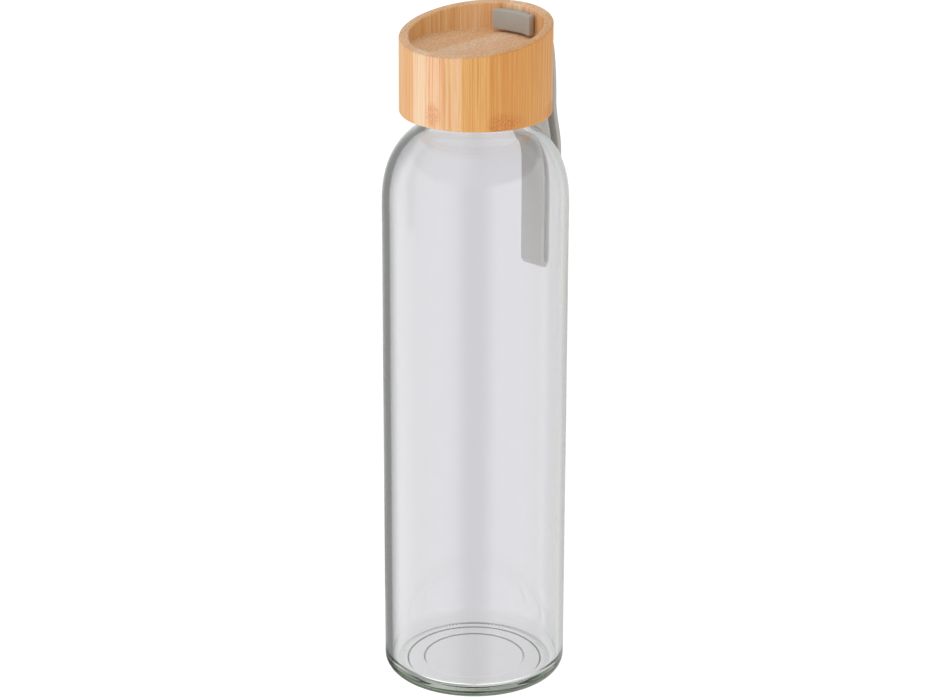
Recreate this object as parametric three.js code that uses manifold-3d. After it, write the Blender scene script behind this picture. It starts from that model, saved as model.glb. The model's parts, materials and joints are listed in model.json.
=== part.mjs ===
// Glass water bottle: blown glass body, turned bamboo screw cap with a slanted rim and a round recess,
// threaded liner, flat seal, and a silicone carry strap that passes through a slot in the cap wall.
// Millimetres, +Z up. The origin is on the bottle's axis at the height it stands on. The strap is at +Y.
import * as THREE from 'three';
import { mergeVertices } from 'three/addons/utils/BufferGeometryUtils.js';
import Module from 'manifold-3d';

const wasm = await Module();
wasm.setup();

// ---- Driving dimensions ---------------------------------------------------------------------------

// Glass body
const bodyRadius = 32;
const bodyTop = 173; // height where the straight side ends and the shoulder starts
const bodyWall = 2.5;
const baseThickness = 4;
const heelRadius = 5; // rounding between the side and the ring the bottle stands on
const innerHeelRadius = 3.2;
const standWidth = 3; // of the ring the bottle stands on
const underRise = 0.5; // from the standing ring up to the underside within it
const panelRise = 0.4; // from that underside up to the disc in its middle
const panelShare = 0.77; // radius of that disc as a share of the underside
const edgeSlant = 0.5; // width of the sloping edges of those two steps
const shoulderHeight = 31.8; // of the whole curve, if it went on to the axis
const shoulderFullness = 0.842; // 1 would be an ellipse, less is squarer

// Neck and its thread
const neckRadius = 17.8;
const neckWall = 2.9;
const neckLength = 16.4;
const throatWidth = 2.4; // width of the hollow curve between shoulder and neck
const lipRounding = 1;
const threadPitch = 5;
const threadDepth = 1.6;
const threadFoot = 2.4; // ridge width where it leaves the wall
const threadCrest = 1.2;
const threadBelowLip = 4; // from the lip down to the upper end of the ridge
const glassTurns = 1.6;
const linerTurns = 1.4;
const runOut = 35; // degrees over which a ridge rises from the wall at each end
const threadPlay = 0.5; // from each ridge's crest to the wall it faces

// Bamboo cap
const capWall = 3.7;
const capAboveThroat = 0.7; // from the foot of the neck up to the cap
const capFloorThickness = 3.4; // between the bore and the recess
const capEdgeRounding = 1.3;
const rimWidth = 3.3;
const rimLowSide = 1.5; // from the recess floor up to the lowest point of the rim
const rimSlope = 9.64; // degrees
const rimTurn = 4; // degrees from the strap round to the rim's highest point

// Liner and seal
const linerWall = 2;
const linerRoof = 1.6;
const linerSetback = 0.8; // from the cap's lower edge up to the liner's
const sealThickness = 1.6;
const sealOverhang = 1.5; // inwards past the lip

// Strap
const strapWidth = 11.2;
const strapLayer = 1.85;
const strapHeadWidth = 16.4;
const strapHeadHeight = 7.1;
const strapHeadThickness = 2.9;
const strapHeadAboveFloor = 0.9;
const strapRounding = 0.6;
const strapKink = 42; // degrees from upright as the strap leaves its round root
const strapBend = 8; // radius of the bend below that, half way between the two layers
const strapLean = 14; // degrees from upright at the end of that bend
const strapWaist = 7; // from the cap's side to half way between the layers, where they first hang upright
const waistAbove = 30; // from the body's straight side up to there
const clearOfBodyAbove = 11; // from the body's straight side up to where the strap is clear of the shoulder
const strapStandoff = 0.45; // from the body's side to the hanging strap
const strapDrop = 90; // from the slot down to the fold
const strapOpening = 3.15; // between the layers
const partingLength = 12; // over which they part below the root
const leastOpening = 0.1; // half the width at which the opening starts

// Fits
const gap = 0.3; // between touching pieces

// Facets
const roundFacets = 60;
const shoulderFacets = 10;
const cornerFacets = 4;
const halfRoundFacets = 8;
const hangFacets = 10;

// ---- Sizes that follow ------------------------------------------------------------------------------

const radians = THREE.MathUtils.degToRad;

const neckBore = neckRadius - neckWall;
const standOuter = bodyRadius - heelRadius;
const standInner = standOuter - standWidth;
const underRadius = standInner - edgeSlant;
const panelRadius = underRadius * panelShare;

const glassCrest = neckRadius + threadDepth;
const linerBore = glassCrest + threadPlay;
const linerRadius = linerBore + linerWall;
const capBore = linerRadius + gap;
const capRadius = capBore + capWall;
const recessRadius = capRadius - rimWidth;

// Point and inward normal of the outer shoulder at a share of its curve, 0 at the side
function shoulderAt(share) {
  const turn = share * Math.PI / 2;
  const cos = Math.cos(turn);
  const sin = Math.sin(turn);
  const point = new THREE.Vector2(
    bodyRadius * cos ** shoulderFullness,
    bodyTop + shoulderHeight * sin ** shoulderFullness,
  );
  const steepness = share === 0
    ? Math.PI / 2
    : Math.atan(shoulderHeight / bodyRadius * (cos / sin) ** (2 - shoulderFullness));
  const inward = new THREE.Vector2(-Math.sin(steepness), -Math.cos(steepness));
  return { point, inward, steepness };
}

const throatShare = (neckRadius + throatWidth) / bodyRadius;
const shoulderEnd = 2 / Math.PI * Math.acos(throatShare ** (1 / shoulderFullness));
const throat = shoulderAt(shoulderEnd);
const throatRadius = throatWidth / (1 - Math.sin(throat.steepness));
const throatTop = throat.point.y + throatRadius * Math.cos(throat.steepness);

const lipTop = throatTop + neckLength;
const capBottom = throatTop + capAboveThroat;
const sealBottom = lipTop + gap;
const roofBottom = sealBottom + sealThickness + gap;
const roofTop = roofBottom + linerRoof;
const boreTop = roofTop + gap;
const recessFloor = boreTop + capFloorThickness;
const linerBottom = capBottom + linerSetback;
const rimRise = capRadius * Math.tan(radians(rimSlope)); // from the axis to the highest point
const rimMiddle = recessFloor + rimLowSide + rimRise;

const strapThickness = 2 * strapLayer;
const slotHeight = recessFloor + strapHeadAboveFloor + strapHeadHeight / 2;
const slotWidth = strapWidth + 2 * gap;
const slotOpening = strapThickness + 2 * gap;
const strapRoot = capRadius + gap + strapThickness / 2; // where the strap bends outside the slot

// ---- Helpers ----------------------------------------------------------------------------------------

// Closed body from a geometry, without its seams and with its faces outwards
function body(geometry) {
  geometry.deleteAttribute('normal');
  geometry.deleteAttribute('uv');
  const welded = mergeVertices(geometry, 1e-4);
  const position = welded.getAttribute('position');
  const index = welded.getIndex().array;
  const triangles = [];
  const corner = [new THREE.Vector3(), new THREE.Vector3(), new THREE.Vector3()];
  let volume = 0;
  for (let i = 0; i < index.length; i += 3) {
    const [a, b, c] = index.slice(i, i + 3);
    if (a === b || b === c || c === a) continue;
    [a, b, c].forEach((vertex, k) => corner[k].fromBufferAttribute(position, vertex));
    volume += corner[0].dot(corner[1].cross(corner[2]));
    triangles.push([a, b, c]);
  }
  if (volume < 0) triangles.forEach((triangle) => triangle.reverse());
  return new wasm.Manifold(new wasm.Mesh({
    numProp: 3,
    vertProperties: new Float32Array(position.array),
    triVerts: new Uint32Array(triangles.flat()),
  }));
}

const at = (radius, height) => new THREE.Vector2(radius, height);

// Points of an arc from one angle to another, degrees
function arc(centreRadius, centreHeight, radius, from, to, facets = cornerFacets) {
  const points = [];
  for (let i = 0; i <= facets; i += 1) {
    const angle = radians(from + (to - from) * i / facets);
    points.push(at(centreRadius + radius * Math.cos(angle), centreHeight + radius * Math.sin(angle)));
  }
  return points;
}

// Body turned about the +Z axis
function turned(profile) {
  return body(new THREE.LatheGeometry(profile, roundFacets).rotateX(Math.PI / 2));
}

// Outline of a rectangle with round corners about the origin
function roundedRectangle(width, height, radius) {
  const shape = new THREE.Shape();
  const x = width / 2 - radius;
  const y = height / 2 - radius;
  shape.absarc(x, y, radius, 0, Math.PI / 2);
  shape.absarc(-x, y, radius, Math.PI / 2, Math.PI);
  shape.absarc(-x, -y, radius, Math.PI, 1.5 * Math.PI);
  shape.absarc(x, -y, radius, 1.5 * Math.PI, 2 * Math.PI);
  return shape;
}

// Bar that runs along +Y from one distance to another, at the height of the slot
function slotBar(width, height, rounding, from, to) {
  const bar = new THREE.ExtrudeGeometry(roundedRectangle(width, height, rounding), {
    depth: to - from,
    bevelEnabled: false,
    curveSegments: cornerFacets,
  });
  return body(bar.rotateX(Math.PI / 2).translate(0, to, slotHeight));
}

// Helical ridge on a wall, standing outwards (side 1) or inwards (side -1). Its middle starts at
// `bottom` and climbs one pitch a turn. At each end it rises from the wall over the run-out.
function ridge(wall, side, bottom, turns) {
  const sunk = gap; // depth of the ridge's foot within the wall
  const profile = new THREE.Shape([
    at(-sunk, -threadFoot / 2),
    at(0, -threadFoot / 2),
    at(threadDepth, -threadCrest / 2),
    at(threadDepth, threadCrest / 2),
    at(0, threadFoot / 2),
    at(-sunk, threadFoot / 2),
  ]);
  const sweep = turns * 360;
  const bar = new THREE.ExtrudeGeometry(profile, {
    depth: sweep,
    steps: Math.round(turns * roundFacets),
    bevelEnabled: false,
  });
  const position = bar.getAttribute('position');
  for (let i = 0; i < position.count; i += 1) {
    const along = position.getZ(i);
    const fade = Math.min(1, (along + 1) / runOut, (sweep - along + 1) / runOut);
    const out = position.getX(i);
    const radius = wall + side * (out > 0 ? out * fade : out);
    const angle = radians(along);
    const height = bottom + position.getY(i) + threadPitch * along / 360;
    position.setXYZ(i, radius * Math.cos(angle), radius * Math.sin(angle), height);
  }
  return body(bar);
}

// ---- Glass bottle -----------------------------------------------------------------------------------

// Wall between the side's thickness and the neck's
const wallAt = (share) => THREE.MathUtils.lerp(bodyWall, neckWall, share);

const outerShoulder = [];
const innerShoulder = [];
for (let i = 0; i <= shoulderFacets; i += 1) {
  const share = i / shoulderFacets;
  const { point, inward } = shoulderAt(shoulderEnd * share);
  outerShoulder.push(point);
  innerShoulder.unshift(point.clone().addScaledVector(inward, wallAt(share)));
}

const throatCentre = at(neckRadius + throatRadius, throatTop);
const throatTurn = 90 - THREE.MathUtils.radToDeg(throat.steepness);
const innerThroatRadius = throatRadius + neckWall;

const underHeight = underRise;
const panelHeight = underRise + panelRise;
const glassProfile = [
  at(0, panelHeight),
  at(panelRadius - edgeSlant, panelHeight),
  at(panelRadius, underHeight),
  at(underRadius, underHeight),
  at(standInner, 0),
  ...arc(standOuter, heelRadius, heelRadius, -90, 0),
  ...outerShoulder,
  ...arc(throatCentre.x, throatCentre.y, throatRadius, 180 + throatTurn, 180).slice(1),
  ...arc(neckRadius - lipRounding, lipTop - lipRounding, lipRounding, 0, 90),
  ...arc(neckBore + lipRounding, lipTop - lipRounding, lipRounding, 90, 180),
  ...arc(throatCentre.x, throatCentre.y, innerThroatRadius, 180, 180 + throatTurn).slice(0, -1),
  ...innerShoulder,
  ...arc(bodyRadius - bodyWall - innerHeelRadius, baseThickness + innerHeelRadius, innerHeelRadius, 0, -90),
  at(0, baseThickness),
];

const glassThreadTop = lipTop - threadBelowLip;
const glassThreadBottom = glassThreadTop - glassTurns * threadPitch;
const glassBottle = turned(glassProfile).add(ridge(neckRadius, 1, glassThreadBottom, glassTurns));

// ---- Bamboo cap -------------------------------------------------------------------------------------

const blankTop = rimMiddle + 2 * rimRise;
const capProfile = [
  at(0, boreTop),
  at(capBore, boreTop),
  at(capBore, capBottom),
  ...arc(capRadius - capEdgeRounding, capBottom + capEdgeRounding, capEdgeRounding, -90, 0),
  at(capRadius, blankTop),
  at(recessRadius, blankTop),
  at(recessRadius, recessFloor),
  at(0, recessFloor),
];

// Everything above the slanted plane of the rim
const offcutSide = 4 * capRadius;
const offcut = body(new THREE.BoxGeometry(offcutSide, offcutSide, blankTop)
  .translate(0, 0, blankTop / 2)
  .rotateX(radians(rimSlope))
  .rotateZ(radians(rimTurn))
  .translate(0, 0, rimMiddle));

const slot = slotBar(slotWidth, slotOpening, strapRounding + gap, recessRadius / 2, 2 * capRadius);
const bambooCap = turned(capProfile).subtract(offcut).subtract(slot);

// ---- Threaded liner ---------------------------------------------------------------------------------

const linerProfile = [
  at(0, roofBottom),
  at(linerBore, roofBottom),
  at(linerBore, linerBottom),
  at(linerRadius, linerBottom),
  at(linerRadius, roofTop),
  at(0, roofTop),
];

// The liner's ridge hangs under the glass ridge, one gap away from its lower flank
const flank = (threadFoot - threadCrest) / 2 / threadDepth;
const flankOverlap = threadFoot - flank * (threadDepth + threadPlay);
const ridgeSpacing = flankOverlap + gap * Math.hypot(1, flank);
const linerThreadBottom = glassThreadBottom - ridgeSpacing;
const threadedInsert = turned(linerProfile).add(ridge(linerBore, -1, linerThreadBottom, linerTurns));

// ---- Seal -------------------------------------------------------------------------------------------

const sealProfile = [
  at(neckBore - sealOverhang, sealBottom),
  at(linerBore - gap, sealBottom),
  at(linerBore - gap, sealBottom + sealThickness),
  at(neckBore - sealOverhang, sealBottom + sealThickness),
  at(neckBore - sealOverhang, sealBottom),
];
const sealRing = turned(sealProfile);

// ---- Strap, the part fixed in the cap ---------------------------------------------------------------

// Head curved like the recess wall, with straight sides and its edges rounded
const headOuter = recessRadius - gap - strapRounding;
const headInner = recessRadius - gap - strapHeadThickness + strapRounding;
const headHalfWidth = strapHeadWidth / 2 - strapRounding;
const outerTurn = Math.asin(headHalfWidth / headOuter);
const innerTurn = Math.asin(headHalfWidth / headInner);
const headShape = new THREE.Shape();
headShape.absarc(0, 0, headOuter, Math.PI / 2 - outerTurn, Math.PI / 2 + outerTurn, false);
headShape.absarc(0, 0, headInner, Math.PI / 2 + innerTurn, Math.PI / 2 - innerTurn, true);
const headGeometry = new THREE.ExtrudeGeometry(headShape, {
  depth: strapHeadHeight - 2 * strapRounding,
  curveSegments: cornerFacets * 2,
  bevelSize: strapRounding,
  bevelThickness: strapRounding,
  bevelSegments: 2,
});
headGeometry.translate(0, 0, slotHeight - strapHeadHeight / 2 + strapRounding);

const tongueStart = headInner + strapRounding;
const strapAnchor = body(headGeometry)
  .add(slotBar(strapWidth, strapThickness, strapRounding, tongueStart, capRadius));

// ---- Strap, the loop that hangs outside -------------------------------------------------------------

// Half way between the two layers, the strap leaves its root at a slant, bends, hangs upright below
// the cap, swings out past the shoulder, and hangs upright again beside the body. Each station has its
// point and its outward side.
const foldRadius = strapOpening / 2 + strapLayer;
const besideBody = bodyRadius + strapStandoff + foldRadius;
const hangEnd = at(besideBody, slotHeight - strapDrop + foldRadius);
const waist = at(capRadius + strapWaist, bodyTop + waistAbove);
const clearOfBody = at(besideBody, bodyTop + clearOfBodyAbove);
const kink = radians(strapKink);
const lean = radians(strapLean);

function bendAt(slant) {
  const reach = strapBend * (Math.cos(slant) - Math.cos(kink));
  const drop = strapBend * (Math.sin(kink) - Math.sin(slant));
  return at(strapRoot + reach, slotHeight - drop);
}

// Curve that starts in the direction of a slant and ends upright
function hangCurve(start, slant, end) {
  const third = (start.y - end.y) / 3;
  const leave = at(third * Math.tan(slant), -third).add(start);
  return new THREE.CubicBezierCurve(start, leave, at(end.x, end.y + third), end);
}

const stations = [];
for (let i = 0; i < cornerFacets; i += 1) {
  const slant = THREE.MathUtils.lerp(kink, lean, i / cornerFacets);
  stations.push({ point: bendAt(slant), outward: at(Math.cos(slant), Math.sin(slant)) });
}
const stretches = [
  hangCurve(bendAt(lean), lean, waist),
  hangCurve(waist, 0, clearOfBody),
];
stretches.forEach((stretch) => {
  for (let i = 0; i < hangFacets; i += 1) {
    const along = stretch.getTangentAt(i / hangFacets);
    stations.push({ point: stretch.getPointAt(i / hangFacets), outward: at(-along.y, along.x) });
  }
});
[clearOfBody, hangEnd].forEach((point) => stations.push({ point, outward: at(1, 0) }));

// Half the opening between the layers, which lie on each other at the root and part just below it
const halfOpening = (station) => strapOpening / 2
  * THREE.MathUtils.smoothstep(slotHeight - station.point.y, 0, partingLength);
const offset = (station, distance) => station.point.clone().addScaledVector(station.outward, distance);

// Extruded across the strap's width, with its outline in the plane through the bottle's axis
function acrossStrap(outline, width, options) {
  const geometry = new THREE.ExtrudeGeometry(new THREE.Shape(outline), { depth: width, ...options });
  return body(geometry.translate(0, 0, -width / 2).rotateX(Math.PI / 2).rotateZ(Math.PI / 2));
}

const outside = (station) => halfOpening(station) + strapLayer - strapRounding;
const loopOutline = [
  ...arc(strapRoot, slotHeight, strapLayer - strapRounding, 180 + strapKink, strapKink, halfRoundFacets),
  ...stations.slice(1).map((station) => offset(station, outside(station))),
  ...arc(hangEnd.x, hangEnd.y, foldRadius - strapRounding, 0, -180, halfRoundFacets).slice(1, -1),
  ...stations.slice(1).map((station) => offset(station, -outside(station))).reverse(),
];
const parted = stations.filter((station) => halfOpening(station) > leastOpening);
const openingOutline = [
  parted[0].point,
  ...parted.slice(1).map((station) => offset(station, halfOpening(station))),
  ...arc(hangEnd.x, hangEnd.y, strapOpening / 2, 0, -180, halfRoundFacets).slice(1, -1),
  ...parted.slice(1).map((station) => offset(station, -halfOpening(station))).reverse(),
];
const strapLoop = acrossStrap(loopOutline, strapWidth - 2 * strapRounding, {
  bevelSize: strapRounding,
  bevelThickness: strapRounding,
  bevelSegments: 2,
}).subtract(acrossStrap(openingOutline, 2 * strapWidth, { bevelEnabled: false }));

// ---- The assembly -----------------------------------------------------------------------------------

const bottle = new THREE.Group();
bottle.name = 'glass_water_bottle';

function piece(name, manifold, color, roughness) {
  const { vertProperties, triVerts } = manifold.getMesh();
  const geometry = new THREE.BufferGeometry();
  geometry.setAttribute('position', new THREE.BufferAttribute(vertProperties, 3));
  geometry.setIndex(new THREE.BufferAttribute(triVerts, 1));
  geometry.computeVertexNormals();
  const mesh = new THREE.Mesh(geometry, new THREE.MeshStandardMaterial({ color, roughness, metalness: 0 }));
  mesh.name = name;
  bottle.add(mesh);
}

piece('glass_bottle', glassBottle, '#d5dcda', 0.05);
piece('bamboo_cap', bambooCap, '#dda870', 0.6);
piece('threaded_insert', threadedInsert, '#ecebe6', 0.4);
piece('seal_ring', sealRing, '#e4e3de', 0.7);
piece('strap_anchor', strapAnchor, '#9c9389', 0.7);
piece('strap_loop', strapLoop, '#9c9389', 0.7);

export default bottle;
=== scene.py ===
import json
import math

import bpy
from mathutils import Matrix, Vector


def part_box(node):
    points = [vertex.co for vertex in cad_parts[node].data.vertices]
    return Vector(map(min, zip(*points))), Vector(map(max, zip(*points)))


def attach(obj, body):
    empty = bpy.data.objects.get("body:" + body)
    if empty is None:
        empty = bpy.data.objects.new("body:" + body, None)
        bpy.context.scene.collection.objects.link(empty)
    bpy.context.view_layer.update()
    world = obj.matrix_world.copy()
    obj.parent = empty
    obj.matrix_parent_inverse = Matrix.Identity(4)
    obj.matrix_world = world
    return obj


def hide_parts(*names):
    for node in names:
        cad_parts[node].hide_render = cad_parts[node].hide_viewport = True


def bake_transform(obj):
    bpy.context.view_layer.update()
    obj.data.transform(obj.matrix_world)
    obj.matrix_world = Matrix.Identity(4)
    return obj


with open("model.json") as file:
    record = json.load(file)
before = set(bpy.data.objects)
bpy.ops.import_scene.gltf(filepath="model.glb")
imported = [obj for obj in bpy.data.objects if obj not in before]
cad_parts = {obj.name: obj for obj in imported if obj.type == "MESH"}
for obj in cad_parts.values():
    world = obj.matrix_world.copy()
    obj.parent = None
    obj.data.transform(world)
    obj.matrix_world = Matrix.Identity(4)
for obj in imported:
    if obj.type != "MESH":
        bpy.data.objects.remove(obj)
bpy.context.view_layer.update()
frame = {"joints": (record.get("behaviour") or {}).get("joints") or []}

MM = 0.001
TURN = 2 * math.pi

# ---- Sizes -------------------------------------------------------------------------------------------
# Outer sizes come from the frame. Walls, roundings, threads and bends are named here.

_, glass_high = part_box("glass_bottle")
cap_low, cap_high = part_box("bamboo_cap")
liner_low, liner_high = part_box("threaded_insert")
seal_low, seal_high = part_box("seal_ring")
head_low, head_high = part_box("strap_anchor")
loop_low, loop_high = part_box("strap_loop")
swing = next(joint for joint in frame["joints"] if joint["name"] == "strap_swing")
GAP = 0.3 * MM

BODY_RADIUS = glass_high.x
BODY_TOP = 173 * MM
BODY_WALL = 2.5 * MM
BASE_THICKNESS = 4 * MM
HEEL_RADIUS = 5 * MM
INNER_HEEL_RADIUS = 3.2 * MM
STAND_WIDTH = 3 * MM
UNDER_RISE = 0.5 * MM
PANEL_RISE = 0.4 * MM
PANEL_SHARE = 0.77
STEP_SLANT = 0.5 * MM
STEP_SOFTNESS = 1.6
STEP_SHARES = (0, 0.2, 0.4, 0.6, 0.8, 1)
SHOULDER_HEIGHT = 31.8 * MM
SHOULDER_FULLNESS = 0.842
NECK_RADIUS = 17.8 * MM
NECK_WALL = 2.9 * MM
THROAT_WIDTH = 2.4 * MM
LIP_TOP = glass_high.z
LIP_ROUNDING = 1 * MM

THREAD_PITCH = 5 * MM
THREAD_DEPTH = 1.6 * MM
THREAD_FOOT = 2.4 * MM
THREAD_CREST = 1.2 * MM
THREAD_SUNK = 0.3 * MM
THREAD_BELOW_LIP = 4 * MM
THREAD_PLAY = 0.5 * MM
GLASS_TURNS = 1.6
LINER_TURNS = 1.4
RUN_OUT = math.radians(35)

CAP_RADIUS = cap_high.x
CAP_BOTTOM = cap_low.z
CAP_TOP = cap_high.z
CAP_EDGE = 1.3 * MM
CAP_WALL_RING = 12 * MM
CAP_FLOOR = 3.4 * MM
BORE_EDGE = 0.4 * MM
RIM_EDGE = 0.5 * MM
RIM_WIDTH = 3.3 * MM
RIM_SLOPE = math.radians(9.64)
RIM_TURN = math.radians(4)

LINER_RADIUS = liner_high.x
LINER_WALL = 2 * MM
LINER_ROOF = 1.6 * MM
LINER_EDGE = 0.4 * MM
SEAL_EDGE = 0.5 * MM

STRAP_WIDTH = loop_high.x - loop_low.x
STRAP_LAYER = 1.85 * MM
STRAP_ROUNDING = 0.5 * MM
STRAP_OPENING = 3.15 * MM
HEAD_THICKNESS = 2.9 * MM
HEAD_ROUNDING = 0.7 * MM

NECK_BORE = NECK_RADIUS - NECK_WALL
RIM_MIDDLE = CAP_TOP - CAP_RADIUS * math.tan(RIM_SLOPE)
BORE_TOP = liner_high.z + GAP
RECESS_FLOOR = BORE_TOP + CAP_FLOOR
RECESS_RADIUS = CAP_RADIUS - RIM_WIDTH
SLOT_HEIGHT = (head_low.z + head_high.z) / 2

SHOULDER_STEPS = 24
HEEL_STEPS = 14
INNER_HEEL_STEPS = 18
THROAT_STEPS = 8
LIP_STEPS = 6
GLASS_SPOKES = 256
CAP_SPOKES = 192
LINER_SPOKES = 96
RIDGE_STEPS = 72
# Rings up the straight wall of the glass, and a ring close beside each curve of its section. Smooth
# shading then bends only the curves, and the flats and the straight wall stay true.
WALL_RINGS = [height * MM for height in (30, 60, 90, 120, 150)]
GUARD = 0.6 * MM
# The stipple on the standing ring: every other spoke is lifted where the base is lower than its reach
STIPPLE_DEPTH = 0.4 * MM
STIPPLE_REACH = 0.5 * MM
STIPPLE_RINGS = (0.8 * MM, 1.9 * MM)
STIPPLE_INNER = BODY_RADIUS - HEEL_RADIUS - 0.7 * STAND_WIDTH
STIPPLE_OUTER = BODY_RADIUS - 0.8 * HEEL_RADIUS
MERGE = 0.001 * MM

GLASS_THREAD_BOTTOM = LIP_TOP - THREAD_BELOW_LIP - GLASS_TURNS * THREAD_PITCH
FLANK = (THREAD_FOOT - THREAD_CREST) / 2 / THREAD_DEPTH
RIDGE_SPACING = THREAD_FOOT - FLANK * (THREAD_DEPTH + THREAD_PLAY) + GAP * math.hypot(1, FLANK)
LINER_THREAD_BOTTOM = GLASS_THREAD_BOTTOM - RIDGE_SPACING
SEAL_OVERHANG = 1.5 * MM

swing_place = Vector(swing["pos_m"])
STRAP_KINK = math.radians(42)
STRAP_BEND = 8 * MM
STRAP_ROOT_BEND = 2.5 * MM
STRAP_LEAN = math.radians(14)
STRAP_WAIST = 7 * MM
WAIST_ABOVE = 30 * MM
CLEAR_OF_BODY_ABOVE = 11 * MM
STRAP_STANDOFF = 0.45 * MM
STRAP_PARTING = 0.1 * MM
PARTING_LENGTH = 12 * MM
START_IN_HEAD = 0.6
NEARLY_STRAIGHT = 1e-6
ROOT_STEPS = 8
BEND_STEPS = 8
HANG_STEPS = 14
UPRIGHT_STEPS = 6
FOLD_STEPS = 16
HEAD_STEPS = 16

# Glue lines of the cap's strips, across X, and the tone of the strip that starts at each. The strips
# towards +X, on the side turned from the key light, are darker and more orange: partly their own tone and
# partly painted shade
STRIP_EDGES = [edge * MM for edge in (-26, -18.5, -12, -5.6, 0.9, 7, 13.2, 20, 26)]
STRIP_TONES_AND_SHADE = ("#e8c18c", "#efcca1", "#ecc191", "#f7e1ca", "#f4ceae", "#efcaa0", "#e6b876",
               "#dba65d", "#dba65d")
# Growth knuckles of the cane, as places in X and Z
KNUCKLES = ((3.4 * MM, 210 * MM), (22.6 * MM, 207.2 * MM))
KNUCKLE_WIDTH = 3.4 * MM
KNUCKLE_HEIGHT = 5 * MM

# Light level by bearing from the camera in degrees: 0 behind the camera, 90 to its right, 180 beyond the
# bottle. Low light is the banded ring of panels and dark cards near the horizon that the glass mirrors.
# Every path that hasn't been mirrored sees the even light beyond there instead, so what is looked at
# through the glass is even from any side. High light hangs above both, from the share of a direction's
# height where the low light fades out, and all paths see it.
LOW_LIGHT = ((-180, 0.8), (-172, 0.8), (-160, 0.3), (-132, 0.3), (-121, 0.9), (-112, 1.6),
             (-42, 1.6), (-32, 1.5), (-20, 1.15), (-10, 0.75), (4, 0.72), (14, 0.95), (26, 1.55),
             (62, 1.5), (78, 1.3), (86, 1.15), (102, 1.3), (127, 1.0), (150, 0.7), (165, 0.65),
             (174, 0.8), (180, 0.8))
HIGH_LIGHT = ((-180, 0.6), (-120, 1.0), (-20, 1.15), (40, 0.55), (120, 0.34), (180, 0.5))
LOW_LIGHT_TOP = (0.4, 0.5)
LIGHT_BEYOND = 0.8
FLOOR_GLOW = 0.75
FLOOR_WHITENESS = 0.4
LIGHT_LEVEL = 1.1
FLOOR_SIZE = 12
FLOOR_BELOW = 0.05 * MM

CAMERA_BEARING = math.radians(41)
CAMERA_TILT = math.radians(20.14)
CAMERA_ROLL = math.radians(0.16)
CAMERA_DISTANCE = 958.05 * MM
CAMERA_HEIGHT = 471.0 * MM
CAMERA_LENS = 111.38


# ---- Hand tools --------------------------------------------------------------------------------------


def clear_selection():
    if bpy.context.object and bpy.context.object.mode != "OBJECT":
        bpy.ops.object.mode_set(mode="OBJECT")
    bpy.ops.object.select_all(action="DESELECT")


def activate(piece):
    clear_selection()
    piece.select_set(True)
    bpy.context.view_layer.objects.active = piece


def name_new(name):
    piece = bpy.context.object
    piece.name = name
    piece.data.name = name
    return piece


def edit(select):
    """Open the active piece for editing, with all or none of it selected."""
    bpy.ops.object.mode_set(mode="EDIT")
    bpy.ops.mesh.select_mode(type="VERT")
    bpy.ops.mesh.select_all(action=select)


def pick(piece, wanted):
    """Select the vertices whose place wanted() accepts, with the edges and faces between them."""
    bpy.ops.object.mode_set(mode="OBJECT")
    chosen = [bool(wanted(vertex.co)) for vertex in piece.data.vertices]
    piece.data.vertices.foreach_set("select", chosen)
    for parts in (piece.data.edges, piece.data.polygons):
        parts.foreach_set("select", [all(chosen[i] for i in part.vertices) for part in parts])
    bpy.ops.object.mode_set(mode="EDIT")


def finish_edit():
    bpy.ops.object.mode_set(mode="OBJECT")


def merge_and_face_out():
    """Merge seams and poles, then turn every face outwards, in edit mode."""
    bpy.ops.mesh.select_all(action="SELECT")
    bpy.ops.mesh.remove_doubles(threshold=MERGE)
    bpy.ops.mesh.normals_make_consistent(inside=False)


def close_skin():
    edit("SELECT")
    merge_and_face_out()
    finish_edit()


def soften(piece, degrees=35):
    activate(piece)
    bpy.ops.object.shade_smooth_by_angle(angle=math.radians(degrees))


def arc(centre_radius, centre_height, radius, start, end, count):
    """Points of an arc in radius and height, with its angles in degrees."""
    angles = [math.radians(start + (end - start) * i / count) for i in range(count + 1)]
    return [(centre_radius + radius * math.cos(angle), centre_height + radius * math.sin(angle))
            for angle in angles]


def drawn(name, points):
    """A line of edges through these points, one vertex after another, left open for editing."""
    clear_selection()
    bpy.ops.mesh.primitive_plane_add(size=MM, location=(0, 0, 0))
    piece = name_new(name)
    edit("SELECT")
    bpy.ops.mesh.merge(type="COLLAPSE")
    bpy.ops.transform.translate(value=points[0])
    for point, following in zip(points, points[1:]):
        step = [end - start for start, end in zip(point, following)]
        bpy.ops.mesh.extrude_vertices_move(TRANSFORM_OT_translate={"value": step})
    bpy.ops.mesh.select_all(action="SELECT")
    return piece


def turned(name, section, spokes):
    """Draw half a section in radius and height, and spin it about +Z."""
    piece = drawn(name, [(radius, 0, height) for radius, height in section])
    bpy.ops.mesh.spin(steps=spokes, angle=TURN, center=(0, 0, 0), axis=(0, 0, 1))
    finish_edit()
    close_skin()
    return piece


def combine(piece, tool, operation):
    """Join a tool piece to this one, or cut it away, with an applied Boolean."""
    activate(piece)
    boolean = piece.modifiers.new("combine", "BOOLEAN")
    boolean.operation = operation
    boolean.solver = "EXACT"
    boolean.object = tool
    bpy.ops.object.modifier_apply(modifier=boolean.name)
    bpy.data.objects.remove(tool)


# Sections that are carried along a path start as a small upright face and are extruded step by step.


def section_face(name, points):
    """One face through these points, in order, for extruding into a bar."""
    piece = drawn(name, points)
    bpy.ops.mesh.edge_face_add()
    return piece


def rounded_section(width, height, rounding, count=3):
    """Corner points of a rectangle with round corners, about the origin, in its own two directions."""
    across, up = width / 2 - rounding, height / 2 - rounding
    points = []
    for quarter, (x, z) in enumerate(((across, up), (-across, up), (-across, -up), (across, -up))):
        points += arc(x, z, rounding, 90 * quarter, 90 * quarter + 90, count)
    return points


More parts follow.
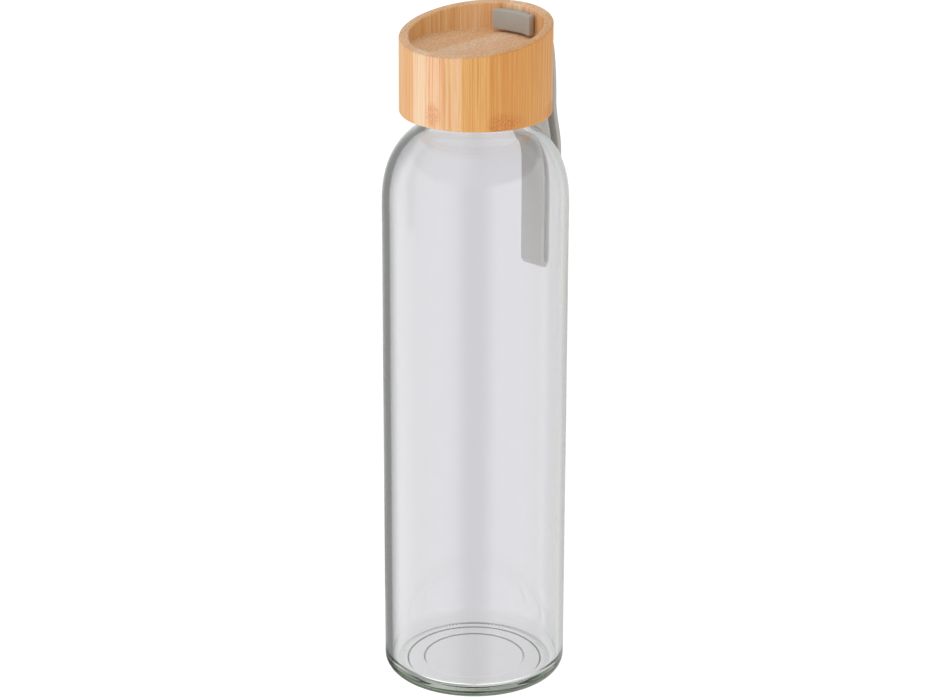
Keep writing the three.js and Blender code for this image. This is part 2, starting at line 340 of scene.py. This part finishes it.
def thread_ridge(name, wall, side, bottom, turns):
    """A ridge that climbs one pitch a turn round a wall, standing outwards (side 1) or inwards (-1).
    It starts and ends flush with the wall and rises over the run-out."""
    foot, crest = wall - side * THREAD_SUNK, wall + side * THREAD_DEPTH
    corners = [(foot, 0, bottom - THREAD_FOOT / 2), (crest, 0, bottom - THREAD_CREST / 2),
               (crest, 0, bottom + THREAD_CREST / 2), (foot, 0, bottom + THREAD_FOOT / 2)]
    piece = section_face(name, corners)
    steps = round(turns * RIDGE_STEPS)
    step_angle = TURN / RIDGE_STEPS
    climb = THREAD_PITCH / RIDGE_STEPS
    for _ in range(steps):
        bpy.ops.mesh.extrude_region_move()
        bpy.ops.transform.rotate(value=-step_angle, orient_axis="Z", center_override=(0, 0, 0))
        bpy.ops.transform.translate(value=(0, 0, climb))
    bpy.ops.mesh.select_all(action="DESELECT")
    for end in range(2):
        for step in range(round(RUN_OUT / step_angle)):
            place = step if end == 0 else steps - step
            angle = place * step_angle
            level = bottom + place * climb
            middle = Vector((math.cos(angle), math.sin(angle), 0))
            pick(piece, lambda co: abs(co.z - level) < THREAD_CREST
                 and (co.xy.length - wall) * side > 0
                 and (co.xy.normalized() - middle.xy).length < step_angle / 4)
            sink = (step * step_angle / RUN_OUT - 1) * (THREAD_DEPTH + THREAD_SUNK / 2) * side
            bpy.ops.transform.translate(value=middle * sink)
    finish_edit()
    close_skin()
    return piece


# ---- Glass bottle: blown soda-lime glass, one wall with its thread -----------------------------------


def shoulder(share):
    """Radius, height and steepness of the outer shoulder at a share of its curve, 0 at the side."""
    turn = share * math.pi / 2
    cos, sin = math.cos(turn), math.sin(turn)
    radius = BODY_RADIUS * cos ** SHOULDER_FULLNESS
    height = BODY_TOP + SHOULDER_HEIGHT * sin ** SHOULDER_FULLNESS
    steepness = math.pi / 2
    if share > 0:
        steepness = math.atan(SHOULDER_HEIGHT / BODY_RADIUS * (cos / sin) ** (2 - SHOULDER_FULLNESS))
    return radius, height, steepness


def glass_section():
    stand_outer = BODY_RADIUS - HEEL_RADIUS
    stand_inner = stand_outer - STAND_WIDTH
    under_radius = stand_inner - STEP_SLANT
    panel_radius = under_radius * PANEL_SHARE
    panel_height = UNDER_RISE + PANEL_RISE
    throat_share = (NECK_RADIUS + THROAT_WIDTH) / BODY_RADIUS
    shoulder_end = 2 / math.pi * math.acos(throat_share ** (1 / SHOULDER_FULLNESS))
    _, end_height, end_steepness = shoulder(shoulder_end)
    throat_radius = THROAT_WIDTH / (1 - math.sin(end_steepness))
    throat_top = end_height + throat_radius * math.cos(end_steepness)
    throat_turn = 90 - math.degrees(end_steepness)
    throat_middle = NECK_RADIUS + throat_radius

    outer, inner = [], []
    for i in range(SHOULDER_STEPS + 1):
        share = i / SHOULDER_STEPS
        radius, height, steepness = shoulder(shoulder_end * share)
        wall = BODY_WALL + (NECK_WALL - BODY_WALL) * share
        outer.append((radius, height))
        inner.insert(0, (radius - wall * math.sin(steepness), height - wall * math.cos(steepness)))

    def step(radius, low, high):
        """Soft step between two levels of the underside, walking outwards."""
        width = STEP_SLANT * STEP_SOFTNESS
        return [(radius + width * (share - 0.5), high + (low - high) * (3 - 2 * share) * share ** 2)
                for share in STEP_SHARES]

    inner_radius = BODY_RADIUS - BODY_WALL
    inner_heel = inner_radius - INNER_HEEL_RADIUS
    heel_top = BASE_THICKNESS + INNER_HEEL_RADIUS
    lip_middle = LIP_TOP - LIP_ROUNDING
    walls = [HEEL_RADIUS + GUARD] + WALL_RINGS + [BODY_TOP - GUARD]
    inner_walls = [BODY_TOP - GUARD] + WALL_RINGS[::-1] + [heel_top + GUARD]
    return ([(0, panel_height), (panel_radius - 2 * GUARD, panel_height)]
            + step(panel_radius - STEP_SLANT / 2, UNDER_RISE, panel_height)
            + [(panel_radius + GUARD, UNDER_RISE), (under_radius - GUARD, UNDER_RISE)]
            + step(under_radius + STEP_SLANT / 2, 0, UNDER_RISE)
            + [(stand_inner + out, 0) for out in STIPPLE_RINGS]
            + arc(stand_outer, HEEL_RADIUS, HEEL_RADIUS, -90, 0, HEEL_STEPS)
            + [(BODY_RADIUS, height) for height in walls]
            + outer
            + arc(throat_middle, throat_top, throat_radius, 180 + throat_turn, 180, THROAT_STEPS)[1:]
            + [(NECK_RADIUS, LIP_TOP - THREAD_BELOW_LIP)]
            + arc(NECK_RADIUS - LIP_ROUNDING, lip_middle, LIP_ROUNDING, 0, 90, LIP_STEPS)
            + arc(NECK_BORE + LIP_ROUNDING, lip_middle, LIP_ROUNDING, 90, 180, LIP_STEPS)
            + arc(throat_middle, throat_top, throat_radius + NECK_WALL, 180, 180 + throat_turn,
                  THROAT_STEPS)[:-1]
            + inner
            + [(inner_radius, height) for height in inner_walls]
            + arc(inner_heel, heel_top, INNER_HEEL_RADIUS, 0, -90, INNER_HEEL_STEPS)
            + [(inner_heel - GUARD, BASE_THICKNESS), (0, BASE_THICKNESS)])


def make_glass():
    piece = turned("bottle_glass", glass_section(), GLASS_SPOKES)
    activate(piece)
    edit("DESELECT")
    spoke = TURN / GLASS_SPOKES

    def on_stipple(co):
        if co.z > STIPPLE_REACH or not STIPPLE_INNER < co.xy.length < STIPPLE_OUTER:
            return False
        return round(math.atan2(co.y, co.x) / spoke) % 2 == 0

    pick(piece, on_stipple)
    bpy.ops.transform.translate(value=(0, 0, STIPPLE_DEPTH))
    finish_edit()
    ridge = thread_ridge("glass_thread", NECK_RADIUS, 1, GLASS_THREAD_BOTTOM, GLASS_TURNS)
    combine(piece, ridge, "UNION")
    close_skin()
    soften(piece, 40)
    return piece


# ---- Bamboo cap: turned from a block glued up from strips, with a slanted rim ------------------------


def make_cap():
    """Turned with a level rim, which is then tilted about its middle and turned a little, and slotted."""
    bore = LINER_RADIUS + GAP
    rim_low = RIM_MIDDLE - RIM_EDGE
    section = ([(0, BORE_TOP), (bore - BORE_EDGE, BORE_TOP), (bore, BORE_TOP - BORE_EDGE)]
               + arc(bore + BORE_EDGE, CAP_BOTTOM + BORE_EDGE, BORE_EDGE, 180, 270, 3)
               + arc(CAP_RADIUS - CAP_EDGE, CAP_BOTTOM + CAP_EDGE, CAP_EDGE, -90, 0, 7)
               + [(CAP_RADIUS, CAP_BOTTOM + CAP_WALL_RING)]
               + arc(CAP_RADIUS - RIM_EDGE, rim_low, RIM_EDGE, 0, 90, 5)
               + arc(RECESS_RADIUS + RIM_EDGE, rim_low, RIM_EDGE, 90, 180, 5)
               + [(RECESS_RADIUS, RECESS_FLOOR + BORE_EDGE),
                  (RECESS_RADIUS - BORE_EDGE / 3, RECESS_FLOOR + BORE_EDGE / 3),
                  (RECESS_RADIUS - BORE_EDGE, RECESS_FLOOR), (0, RECESS_FLOOR)])
    piece = turned("cap_bamboo", section, CAP_SPOKES)
    activate(piece)
    edit("DESELECT")
    pick(piece, lambda co: co.z > RIM_MIDDLE - 2 * RIM_EDGE)
    middle = (0, 0, RIM_MIDDLE)
    stretch = 1 / math.cos(RIM_SLOPE)
    bpy.ops.transform.rotate(value=-RIM_SLOPE, orient_axis="X", center_override=middle)
    bpy.ops.transform.resize(value=(1, stretch, stretch), center_override=middle)
    bpy.ops.transform.rotate(value=-RIM_TURN, orient_axis="Z", center_override=middle)
    finish_edit()
    opening = rounded_section(STRAP_WIDTH + 2 * GAP, 2 * STRAP_LAYER + 2 * GAP, STRAP_ROUNDING + GAP)
    cut = section_face("slot_cut", [(x, RECESS_RADIUS / 2, SLOT_HEIGHT + z) for x, z in opening])
    bpy.ops.mesh.extrude_region_move(TRANSFORM_OT_translate={"value": (0, CAP_RADIUS, 0)})
    merge_and_face_out()
    finish_edit()
    combine(piece, cut, "DIFFERENCE")
    soften(piece, 30)
    return piece


# ---- Liner and seal, inside the cap ------------------------------------------------------------------


def make_liner():
    bore = LINER_RADIUS - LINER_WALL
    roof = liner_high.z - LINER_ROOF
    section = ([(0, roof), (bore - LINER_EDGE, roof), (bore, roof - LINER_EDGE)]
               + arc(bore + LINER_EDGE, liner_low.z + LINER_EDGE, LINER_EDGE, 180, 270, 3)
               + arc(LINER_RADIUS - LINER_EDGE, liner_low.z + LINER_EDGE, LINER_EDGE, -90, 0, 3)
               + arc(LINER_RADIUS - LINER_EDGE, liner_high.z - LINER_EDGE, LINER_EDGE, 0, 90, 3)
               + [(0, liner_high.z)])
    piece = turned("cap_liner", section, LINER_SPOKES)
    ridge = thread_ridge("liner_thread", bore, -1, LINER_THREAD_BOTTOM, LINER_TURNS)
    combine(piece, ridge, "UNION")
    soften(piece)
    return piece


def make_seal():
    hole = NECK_BORE - SEAL_OVERHANG
    section = []
    for radius, height, start in ((seal_high.x - SEAL_EDGE, seal_low.z + SEAL_EDGE, -90),
                                  (seal_high.x - SEAL_EDGE, seal_high.z - SEAL_EDGE, 0),
                                  (hole + SEAL_EDGE, seal_high.z - SEAL_EDGE, 90),
                                  (hole + SEAL_EDGE, seal_low.z + SEAL_EDGE, 180)):
        section += arc(radius, height, SEAL_EDGE, start, start + 90, 4)
    piece = turned("cap_seal", section + section[:1], LINER_SPOKES)
    soften(piece)
    return piece


# ---- Strap: one silicone band, folded double, with a curved head that stops it in the slot -----------


def strap_stations():
    """Half way between the two layers, from inside the head to the fold's centre. Each station has its
    place in Y and Z, and its slant from straight down towards +Y."""
    root = Vector((swing_place.y, swing_place.z))
    fold_radius = STRAP_OPENING / 2 + STRAP_LAYER
    beside_body = BODY_RADIUS + STRAP_STANDOFF + fold_radius
    hang_end = Vector((beside_body, loop_low.z + fold_radius))
    waist = Vector((CAP_RADIUS + STRAP_WAIST, BODY_TOP + WAIST_ABOVE))
    clear_of_body = Vector((beside_body, BODY_TOP + CLEAR_OF_BODY_ABOVE))

    # out of the slot, level, then round a tight bend on to the slant on which it leaves the root
    turn = math.pi / 2 - STRAP_KINK
    drop = STRAP_ROOT_BEND * (1 - math.cos(turn))
    bend_start = root.x + drop * math.tan(STRAP_KINK) - STRAP_ROOT_BEND * math.sin(turn)
    stations = [(Vector((RECESS_RADIUS - HEAD_THICKNESS * START_IN_HEAD, root.y)), math.pi / 2)]
    for i in range(ROOT_STEPS + 1):
        bent = turn * i / ROOT_STEPS
        reach = Vector((STRAP_ROOT_BEND * math.sin(bent), -STRAP_ROOT_BEND * (1 - math.cos(bent))))
        stations.append((Vector((bend_start, root.y)) + reach, math.pi / 2 - bent))

    def bend_at(slant):
        return root + STRAP_BEND * Vector((math.cos(slant) - math.cos(STRAP_KINK),
                                           math.sin(slant) - math.sin(STRAP_KINK)))

    for i in range(1, BEND_STEPS):
        slant = STRAP_KINK + (STRAP_LEAN - STRAP_KINK) * i / BEND_STEPS
        if bend_at(slant).y < stations[-1][0].y - STRAP_PARTING:
            stations.append((bend_at(slant), slant))
    for start, slant, end in ((bend_at(STRAP_LEAN), STRAP_LEAN, waist), (waist, 0, clear_of_body)):
        third = (start.y - end.y) / 3
        leave = start + Vector((third * math.tan(slant), -third))
        arrive = end + Vector((0, third))
        for i in range(HANG_STEPS):
            t = i / HANG_STEPS
            rest = 1 - t
            place = (start * rest ** 3 + leave * 3 * t * rest ** 2
                     + arrive * 3 * t ** 2 * rest + end * t ** 3)
            along = ((leave - start) * rest ** 2 + (arrive - leave) * 2 * t * rest
                     + (end - arrive) * t ** 2)
            stations.append((place, math.atan2(along.x, -along.y)))
    drop = clear_of_body.y - hang_end.y
    stations += [(clear_of_body - Vector((0, drop * i / UPRIGHT_STEPS)), 0)
                 for i in range(UPRIGHT_STEPS + 1)]
    return stations, hang_end


def strap_path():
    """Middle of the band all the way round: down the outer layer, round the fold and up the inner one.
    Each place in Y and Z comes with the band's heading, as its turn about X."""
    stations, hang_end = strap_stations()
    band = []
    for side in (1, -1):
        for place, slant in stations[::side]:
            part = min(1, max(0, (swing_place.z - place.y) / PARTING_LENGTH))
            half_opening = STRAP_OPENING / 2 * (3 - 2 * part) * part ** 2
            away = STRAP_LAYER / 2 + max(half_opening, STRAP_PARTING / 2)
            outward = Vector((math.cos(slant), math.sin(slant)))
            band.append((place + outward * side * away, -slant if side == 1 else math.pi - slant))
        if side == 1:
            for i in range(1, FOLD_STEPS):
                angle = math.pi * i / FOLD_STEPS
                radius = (STRAP_OPENING + STRAP_LAYER) / 2
                band.append((hang_end + radius * Vector((math.cos(angle), -math.sin(angle))), angle))
    return band


def make_band():
    band = strap_path()
    start, heading = band[0]
    thick = Vector((math.cos(heading), -math.sin(heading)))
    points = []
    for across, out in rounded_section(STRAP_WIDTH, STRAP_LAYER, STRAP_ROUNDING):
        place = start + thick * out
        points.append((across, place.x, place.y))
    piece = section_face("carry_strap", points)
    for (place, heading), (next_place, next_heading) in zip(band, band[1:]):
        bpy.ops.mesh.extrude_region_move()
        turn = next_heading - heading
        if abs(turn) > NEARLY_STRAIGHT:
            bpy.ops.transform.rotate(value=turn, orient_axis="X", center_override=(0, *place))
        step = next_place - place
        bpy.ops.transform.translate(value=(0, step.x, step.y))
    finish_edit()
    close_skin()
    return piece


def make_head():
    """The stop inside the cap, curved with the recess wall and rounded all over."""
    middle_radius = RECESS_RADIUS - GAP - HEAD_THICKNESS / 2
    half = (head_high.x - head_low.x) / 2
    head_height = head_high.z - head_low.z
    across = [half * (2 * i / HEAD_STEPS - 1) for i in range(HEAD_STEPS + 1)]
    back = [math.sqrt(middle_radius ** 2 - x ** 2) for x in across]
    points = [(across[0], back[0] + y, SLOT_HEIGHT + z)
              for y, z in rounded_section(HEAD_THICKNESS, head_height, HEAD_ROUNDING)]
    head = section_face("strap_head", points)
    for (x, y), (next_x, next_y) in zip(zip(across, back), zip(across[1:], back[1:])):
        step = (next_x - x, next_y - y, 0)
        bpy.ops.mesh.extrude_region_move(TRANSFORM_OT_translate={"value": step})
    merge_and_face_out()
    pick(head, lambda co: abs(abs(co.x) - half) < 10 * MERGE)
    bpy.ops.mesh.bevel(offset=HEAD_ROUNDING, segments=3, profile=0.5, affect="EDGES",
                       clamp_overlap=True)
    finish_edit()
    return head


def make_strap():
    piece = make_band()
    combine(piece, make_head(), "UNION")
    close_skin()
    soften(piece, 50)
    return piece


# ---- Materials ---------------------------------------------------------------------------------------
# Periods are in X, Y and Z, so a long last value runs with the fibres or with the wall.

GLASS_SWELL = (14 * MM, 14 * MM, 60 * MM)
BAMBOO_BANDS = (2.2 * MM, 2.2 * MM, 160 * MM)
BAMBOO_STREAKS = (0.5 * MM, 0.5 * MM, 60 * MM)
BAMBOO_THREADS = (0.3 * MM, 0.3 * MM, 10 * MM)
BAMBOO_BUNDLES = (1.0 * MM, 1.0 * MM, 70 * MM)
BAMBOO_RELIEF = (0.35 * MM, 0.35 * MM, 14 * MM)
KNUCKLE_FLECKS = (0.45 * MM, 0.45 * MM, 0.6 * MM)
# Cut fibre bundles are a few tenths of a millimetre across, so these are a little coarse, to show
CUT_END_DOTS = (0.5 * MM, 0.5 * MM, 0.5 * MM)
TONE_DRIFT = (9 * MM, 9 * MM, 9 * MM)
# The matt grain of a plastic or silicone mould is about a tenth of a millimetre, drawn coarser to show
LINER_GRAIN = 0.4 * MM
SILICONE_GRAIN = 0.5 * MM
ENDLESS = 1000


def colour(hex_code):
    """Linear colour of an sRGB hex value."""
    channels = [int(hex_code[i:i + 2], 16) / 255 for i in (1, 3, 5)]
    return [c / 12.92 if c <= 0.04045 else ((c + 0.055) / 1.055) ** 2.4 for c in channels] + [1]


def grey(level):
    return [level, level, level, 1]


def once_in(period):
    """Scale at which a pattern repeats once in this many metres along X, Y and Z."""
    return [1 / length for length in period]


def node(tree, kind, inputs=None, stops=(), **settings):
    """Add a node with its settings. Each input takes a plain value or another node's output. The stops
    of a colour ramp are positions with linear colours."""
    new = tree.nodes.new(kind)
    for name, value in settings.items():
        setattr(new, name, value)
    for socket, value in (inputs or {}).items():
        if isinstance(value, bpy.types.NodeSocket):
            tree.links.new(value, new.inputs[socket])
        else:
            new.inputs[socket].default_value = value
    if stops:
        elements = new.color_ramp.elements
        while len(elements) < len(stops):
            elements.new(1)
        for element, (position, value) in zip(elements, stops):
            element.position = position
            element.color = value
    return new


def new_material(name):
    material = bpy.data.materials.new(name)
    material.use_nodes = True
    material.node_tree.nodes.clear()
    tree = material.node_tree
    output = node(tree, "ShaderNodeOutputMaterial")
    place = node(tree, "ShaderNodeTexCoord").outputs["Object"]
    return material, tree, output, place


def unevenness(tree, place, period, detail, roughness=0.5):
    """A random pattern from 0 to 1 whose patches are about one period long."""
    spread = node(tree, "ShaderNodeMapping", {"Vector": place, "Scale": once_in(period)})
    return node(tree, "ShaderNodeTexNoise", {
        "Vector": spread.outputs["Vector"], "Scale": 1, "Detail": detail,
        "Roughness": roughness}).outputs["Fac"]


def soda_lime_glass():
    """Soda-lime glass, blown into a mould. Nearly clear, with a faint green that deepens where it is
    thick, and walls that are never quite even, so that what shows through it wavers a little."""
    material, tree, output, place = new_material("blown_soda_lime_glass")
    swell = unevenness(tree, place, GLASS_SWELL, 1)
    bump = node(tree, "ShaderNodeBump", {"Height": swell, "Strength": 0.25, "Distance": 0.2 * MM})
    glass = node(tree, "ShaderNodeBsdfPrincipled", {
        "Base Color": colour("#f5f2f8"), "Roughness": 0, "IOR": 1.52, "Transmission Weight": 1,
        "Normal": bump.outputs["Normal"]})
    tint = node(tree, "ShaderNodeVolumeAbsorption", {"Color": colour("#b7cda9"), "Density": 55})
    tree.links.new(glass.outputs["BSDF"], output.inputs["Surface"])
    tree.links.new(tint.outputs["Volume"], output.inputs["Volume"])
    return material


def strip_tones_and_shade(tree, place):
    """Flat tone of each glued strip, by its place in X. The darker strips towards +X hold painted shade
    as well as their own tone.
    """
    x = node(tree, "ShaderNodeSeparateXYZ", {"Vector": place}).outputs["X"]
    share = node(tree, "ShaderNodeMapRange", {
        "Value": x, "From Min": STRIP_EDGES[0], "From Max": STRIP_EDGES[-1]}).outputs["Result"]
    span = STRIP_EDGES[-1] - STRIP_EDGES[0]
    tones_with_shade = node(tree, "ShaderNodeValToRGB", {"Fac": share}, stops=[
        ((edge - STRIP_EDGES[0]) / span, colour(tone)) for edge, tone in zip(STRIP_EDGES, STRIP_TONES_AND_SHADE)])
    tones_with_shade.color_ramp.interpolation = "CONSTANT"
    return tones_with_shade.outputs["Color"]


def knuckle_mask(tree, place):
    """Growth knuckles of the cane, as flecked ovals that reach right through the block along Y."""
    size = once_in((KNUCKLE_WIDTH, ENDLESS, KNUCKLE_HEIGHT))
    knuckles = None
    for x, z in KNUCKLES:
        offset = node(tree, "ShaderNodeVectorMath", {0: place, 1: (x, 0, z)}, operation="SUBTRACT")
        flat = node(tree, "ShaderNodeMapping", {"Vector": offset.outputs["Vector"], "Scale": size})
        distance = node(tree, "ShaderNodeVectorMath", {0: flat.outputs["Vector"]}, operation="LENGTH")
        spot = node(tree, "ShaderNodeValToRGB", {"Fac": distance.outputs["Value"]},
                    stops=[(0.5, grey(1)), (1, grey(0))]).outputs["Color"]
        knuckles = spot if knuckles is None else node(
            tree, "ShaderNodeVectorMath", {0: knuckles, 1: spot}, operation="MAXIMUM").outputs["Vector"]
    flecks = node(tree, "ShaderNodeValToRGB", {"Fac": unevenness(tree, place, KNUCKLE_FLECKS, 3)},
                  stops=[(0.4, grey(0.15)), (0.7, grey(1))]).outputs["Color"]
    return node(tree, "ShaderNodeVectorMath", {0: knuckles, 1: flecks},
                operation="MULTIPLY").outputs["Vector"]


def oiled_bamboo():
    """Bamboo strips glued into a block, turned on a lathe and oiled. The fibres run up and down, so the
    side shows long streaks and the rim and the recess floor show their cut ends as dark specks."""
    material, tree, output, place = new_material("turned_oiled_bamboo")
    # the strip colours carry painted shade: darker and more orange towards +X, the side turned from the
    # key light, on top of each strip's own tone
    base = strip_tones_and_shade(tree, place)
    shifted = node(tree, "ShaderNodeVectorMath", {0: place, 1: base}, operation="ADD").outputs["Vector"]
    cells = node(tree, "ShaderNodeMapping", {"Vector": shifted, "Scale": once_in(BAMBOO_BUNDLES)})
    bundles = node(tree, "ShaderNodeTexVoronoi", {"Vector": cells.outputs["Vector"], "Scale": 1})

    # each pattern of the grain, the stops between which its strength runs, and the tone it darkens with
    grain = ((unevenness(tree, shifted, BAMBOO_BANDS, 2, 0.6), ((0.38, 0), (0.66, 0.45)), "#f0cf96"),
             (unevenness(tree, shifted, BAMBOO_STREAKS, 3, 0.6), ((0.4, 0), (0.68, 0.65)), "#eec588"),
             (unevenness(tree, shifted, BAMBOO_THREADS, 3, 0.6), ((0.35, 0), (0.75, 0.6)), "#eed5a4"),
             (bundles.outputs["Distance"], ((0.12, 0.6), (0.3, 0)), "#dcae74"))
    masks = [(node(tree, "ShaderNodeValToRGB", {"Fac": pattern}, stops=[
        (position, grey(strength)) for position, strength in strengths]).outputs["Color"], tone)
        for pattern, strengths, tone in grain]
    for mask, tone in masks + [(knuckle_mask(tree, place), "#e3bd90")]:
        base = node(tree, "ShaderNodeMix", {"Factor": mask, "A": base, "B": colour(tone)},
                    data_type="RGBA", blend_type="MULTIPLY").outputs["Result"]

    # cut ends: paler and pinker, with the fibre bundles as fine dark dots
    facing = node(tree, "ShaderNodeTexCoord").outputs["Normal"]
    upward = node(tree, "ShaderNodeSeparateXYZ", {"Vector": facing}).outputs["Z"]
    cut_end = node(tree, "ShaderNodeValToRGB", {"Fac": upward}, stops=[(0.75, grey(0)), (0.95, grey(1))])
    dots = node(tree, "ShaderNodeValToRGB", {"Fac": unevenness(tree, place, CUT_END_DOTS, 2)},
                stops=[(0.35, colour("#a9794d")), (0.58, colour("#f0cdab"))])
    dotted = node(tree, "ShaderNodeMix", {"Factor": 0.45, "A": base, "B": dots.outputs["Color"]},
                  data_type="RGBA")
    whole = node(tree, "ShaderNodeMix", {
        "Factor": cut_end.outputs["Color"], "A": base, "B": dotted.outputs["Result"]}, data_type="RGBA")

    relief = unevenness(tree, shifted, BAMBOO_RELIEF, 3, 0.6)
    bump = node(tree, "ShaderNodeBump", {"Height": relief, "Strength": 0.3, "Distance": 0.05 * MM})
    wood = node(tree, "ShaderNodeBsdfPrincipled", {
        "Base Color": whole.outputs["Result"], "Roughness": 0.5, "IOR": 1.5,
        "Normal": bump.outputs["Normal"]})
    tree.links.new(wood.outputs["BSDF"], output.inputs["Surface"])
    return material


def moulded(name, tone, shade, roughness, grain, subsurface=0):
    """A moulded soft or hard plastic: its tone drifts a little, and its skin has a fine matt grain."""
    material, tree, output, place = new_material(name)
    base = node(tree, "ShaderNodeValToRGB", {"Fac": unevenness(tree, place, TONE_DRIFT, 3)},
                stops=[(0.3, colour(tone)), (0.7, colour(shade))])
    fine = unevenness(tree, place, (grain, grain, grain), 2)
    bump = node(tree, "ShaderNodeBump", {"Height": fine, "Strength": 0.3, "Distance": 0.03 * MM})
    skin = node(tree, "ShaderNodeBsdfPrincipled", {
        "Base Color": base.outputs["Color"], "Roughness": roughness, "IOR": 1.45,
        "Subsurface Weight": subsurface, "Subsurface Scale": 2 * MM, "Normal": bump.outputs["Normal"]})
    tree.links.new(skin.outputs["BSDF"], output.inputs["Surface"])
    return material


def finish_piece(piece, material, slot, body, *nodes):
    """Give a piece its material, the body it rides on if there is just one, and what it replaces. The
    slot argument is not used."""
    piece.data.materials.clear()
    piece.data.materials.append(material)
    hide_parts(*nodes)
    if body:
        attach(piece, body)


# ---- The object --------------------------------------------------------------------------------------

glass = make_glass()
# Clear glass dims light very little, so matt surfaces near it are lit as if it weren't there
glass.visible_diffuse = False
glass.visible_shadow = False
cap = make_cap()
liner = make_liner()
seal = make_seal()
strap = make_strap()

finish_piece(glass, soda_lime_glass(), "glass", "bottle", "glass_bottle")
finish_piece(cap, oiled_bamboo(), "bamboo", "cap", "bamboo_cap")
finish_piece(liner, moulded("moulded_polypropylene", "#efeee9", "#e6e4de", 0.4, LINER_GRAIN, 0.1),
             "liner", "cap", "threaded_insert")
finish_piece(seal, moulded("moulded_clear_silicone", "#e9e8e2", "#dedcd5", 0.6, SILICONE_GRAIN, 0.2),
             "seal", "seal", "seal_ring")
finish_piece(strap, moulded("moulded_silicone", "#b1afaa", "#aba9a3", 0.55, SILICONE_GRAIN),
             "strap", None, "strap_anchor", "strap_loop")
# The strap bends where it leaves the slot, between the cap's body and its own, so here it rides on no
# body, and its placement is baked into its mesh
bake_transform(strap)


# ---- Floor, lights and camera ------------------------------------------------------------------------


def lay_floor():
    """A sheet of pale paper that glows a little. Mirrored and see-through paths go through it, so the
    glass shows the same room below the horizon as above it."""
    clear_selection()
    bpy.ops.mesh.primitive_plane_add(size=FLOOR_SIZE, location=(0, 0, -FLOOR_BELOW))
    floor = name_new("floor")
    paper, tree, output, _ = new_material("white_paper")
    sheet = node(tree, "ShaderNodeBsdfDiffuse", {"Color": grey(FLOOR_WHITENESS)})
    glow = node(tree, "ShaderNodeEmission", {"Strength": FLOOR_GLOW})
    both = node(tree, "ShaderNodeAddShader", {0: sheet.outputs["BSDF"], 1: glow.outputs["Emission"]})
    tree.links.new(both.outputs["Shader"], output.inputs["Surface"])
    floor.data.materials.append(paper)
    floor.visible_glossy = False
    floor.visible_transmission = False


def light_room(scene):
    """Soft light from all round: the low light where a path was mirrored and the light beyond where it
    wasn't, with the high light above both. The camera itself sees plain white."""
    world = bpy.data.worlds.new("studio")
    scene.world = world
    world.use_nodes = True
    tree = world.node_tree
    tree.nodes.clear()
    compass = node(tree, "ShaderNodeMapping", {
        "Vector": node(tree, "ShaderNodeTexCoord").outputs["Generated"],
        "Rotation": (0, 0, -CAMERA_BEARING)})
    direction = node(tree, "ShaderNodeSeparateXYZ", {"Vector": compass.outputs["Vector"]}).outputs
    towards = node(tree, "ShaderNodeMath", {0: direction["Y"], 1: -1}, operation="MULTIPLY")
    bearing = node(tree, "ShaderNodeMath", {0: direction["X"], 1: towards.outputs["Value"]},
                   operation="ARCTAN2")
    turn = node(tree, "ShaderNodeMapRange", {
        "Value": bearing.outputs["Value"], "From Min": -math.pi, "From Max": math.pi})
    low, high = (
        node(tree, "ShaderNodeValToRGB", {"Fac": turn.outputs["Result"]},
             stops=[((angle + 180) / 360, grey(level)) for angle, level in levels]).outputs["Color"]
        for levels in (LOW_LIGHT, HIGH_LIGHT))
    height = node(tree, "ShaderNodeMapRange", {
        "Value": direction["Z"], "From Min": LOW_LIGHT_TOP[0], "From Max": LOW_LIGHT_TOP[1]},
        interpolation_type="SMOOTHSTEP")
    path = node(tree, "ShaderNodeLightPath").outputs
    horizon = node(tree, "ShaderNodeMix", {
        "Factor": path["Glossy Depth"], "A": grey(LIGHT_BEYOND), "B": low}, data_type="RGBA")
    room = node(tree, "ShaderNodeMix", {
        "Factor": height.outputs["Result"], "A": horizon.outputs["Result"], "B": high},
        data_type="RGBA")
    seen = node(tree, "ShaderNodeMix", {
        "Factor": path["Is Camera Ray"], "A": room.outputs["Result"], "B": grey(1)}, data_type="RGBA")
    backdrop = node(tree, "ShaderNodeBackground", {
        "Color": seen.outputs["Result"], "Strength": LIGHT_LEVEL})
    surround = node(tree, "ShaderNodeOutputWorld")
    tree.links.new(backdrop.outputs["Background"], surround.inputs["Surface"])


def place_camera():
    clear_selection()
    bpy.ops.object.camera_add(location=(0, 0, 0))
    camera = bpy.context.object
    camera.name = "camera"
    camera.data.lens = CAMERA_LENS
    stand = Matrix.Translation((CAMERA_DISTANCE * math.sin(CAMERA_BEARING),
                                -CAMERA_DISTANCE * math.cos(CAMERA_BEARING), CAMERA_HEIGHT))
    camera.matrix_world = (stand @ Matrix.Rotation(CAMERA_BEARING, 4, "Z")
                           @ Matrix.Rotation(math.pi / 2 - CAMERA_TILT, 4, "X")
                           @ Matrix.Rotation(CAMERA_ROLL, 4, "Z"))
    bpy.context.scene.camera = camera


bpy.context.scene.view_settings.view_transform = "Standard"
lay_floor()
light_room(bpy.context.scene)
place_camera()
